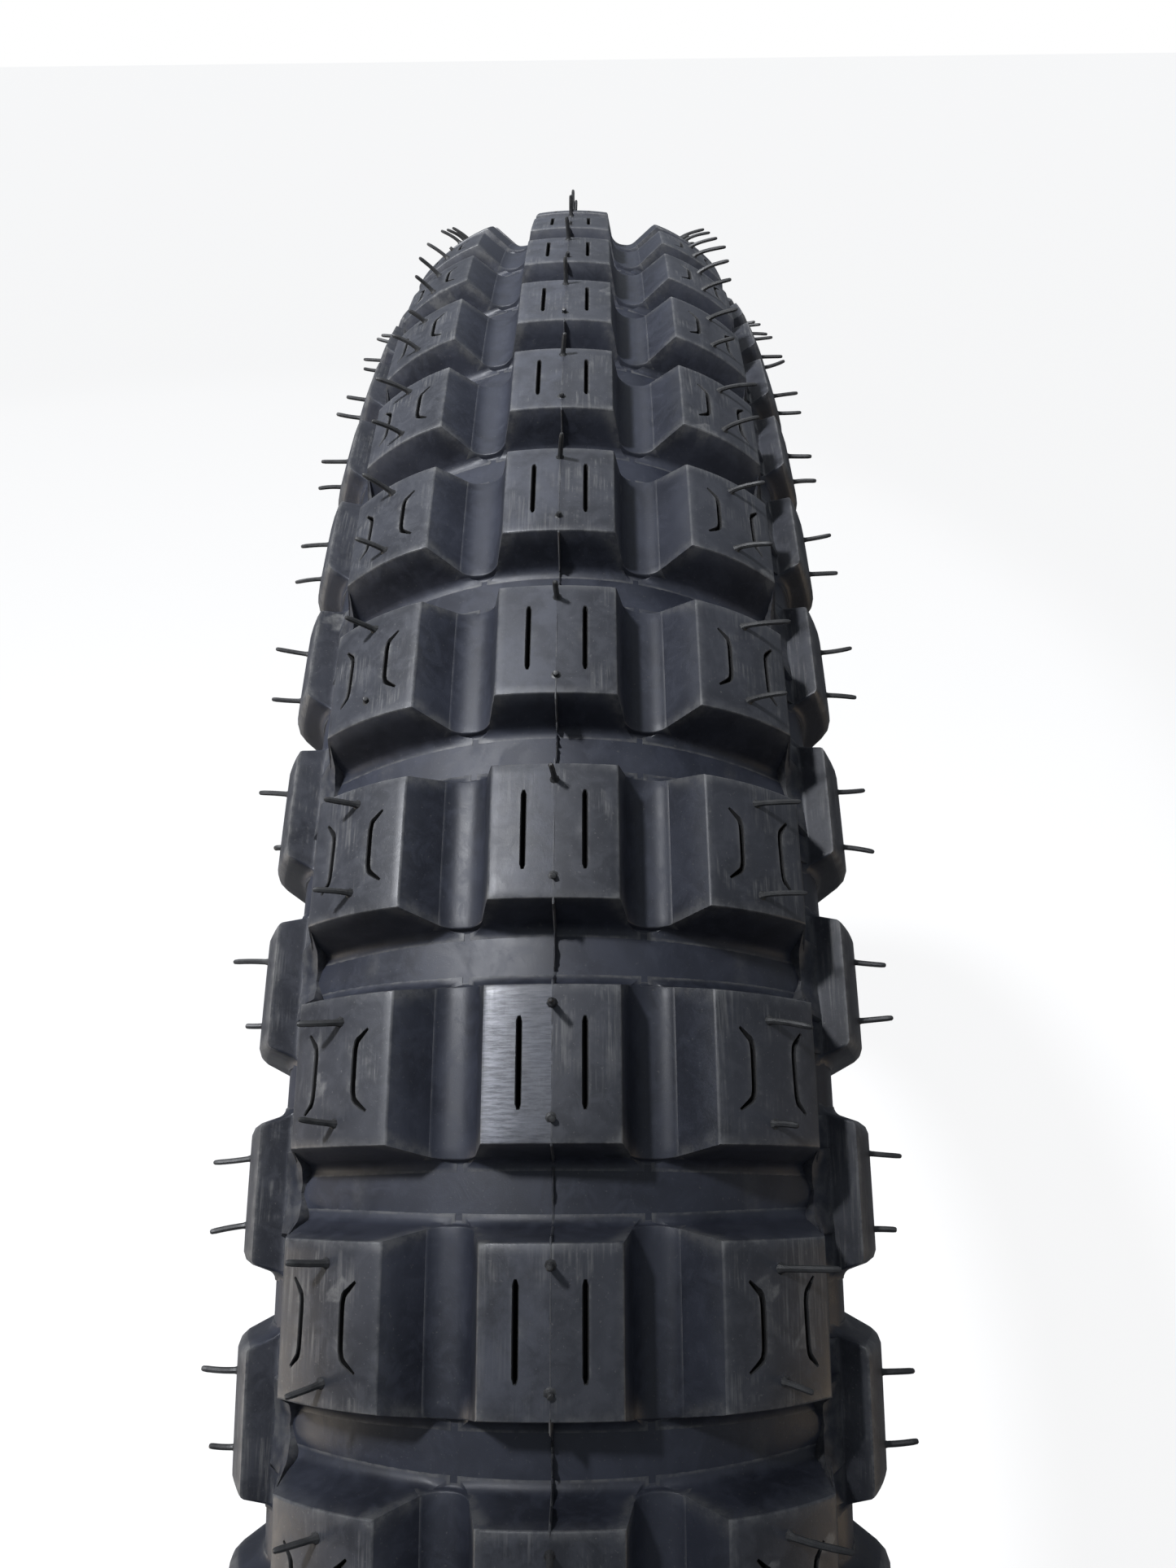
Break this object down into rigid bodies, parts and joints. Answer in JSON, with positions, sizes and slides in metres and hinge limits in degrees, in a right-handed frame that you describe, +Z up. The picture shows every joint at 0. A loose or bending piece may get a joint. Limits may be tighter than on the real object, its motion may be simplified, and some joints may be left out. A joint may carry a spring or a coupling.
{
  "type": "motorcycle tire",
  "caption": "Tubed bias-ply motorcycle trail tire with rows of square tread blocks, staggered side knobs, vent spews and wire beads.",
  "frame": {"origin": "wheel centre, on the spin axis midway between the beads", "axes": "+Y along the spin axis towards the tire's right side, +Z up, +X forward"},
  "size_m": [0.65, 0.0996, 0.65],
  "materials": {
    "tread_rubber": "moulded satin black rubber",
    "sidewall_rubber": "smooth satin black rubber",
    "spew_rubber": "thin glossy rubber hairs",
    "liner_rubber": "matt calendered rubber with release dust",
    "core_rubber": "hard black rubber",
    "ply_fabric": "rubber-coated cord fabric",
    "breaker_fabric": "rubber-coated cord fabric",
    "wrap_fabric": "rubber-coated square-woven fabric",
    "chafer_fabric": "rubber-coated square-woven fabric",
    "bead_wire": "bronze-plated drawn steel wire"
  },
  "bodies": {
    "root": {"bead_cushion_left": "core_rubber", "bead_cushion_right": "core_rubber", "bead_filler_left": "core_rubber", "bead_filler_right": "core_rubber", "bead_flipper_left": "wrap_fabric", "bead_flipper_right": "wrap_fabric", "bead_insulation_left": "core_rubber", "bead_insulation_right": "core_rubber", "bead_wires_left": "bead_wire", "bead_wires_right": "bead_wire", "breaker_1": "breaker_fabric", "breaker_2": "breaker_fabric", "casing_ply_1": "ply_fabric", "casing_ply_2": "ply_fabric", "centre_blocks": "tread_rubber", "centre_spews": "spew_rubber", "chafer_left": "chafer_fabric", "chafer_right": "chafer_fabric", "inner_liner": "liner_rubber", "seam_flash": "tread_rubber", "shoulder_blocks_left": "tread_rubber", "shoulder_blocks_right": "tread_rubber", "shoulder_spews_left": "spew_rubber", "shoulder_spews_right": "spew_rubber", "shoulder_strip_left": "tread_rubber", "shoulder_strip_right": "tread_rubber", "side_knobs_left": "tread_rubber", "side_knobs_right": "tread_rubber", "side_spews_left": "spew_rubber", "side_spews_right": "spew_rubber", "sidewall_left": "sidewall_rubber", "sidewall_right": "sidewall_rubber", "tie_bars_left": "tread_rubber", "tie_bars_right": "tread_rubber", "tread_band": "tread_rubber"}
  },
  "joints": []
}
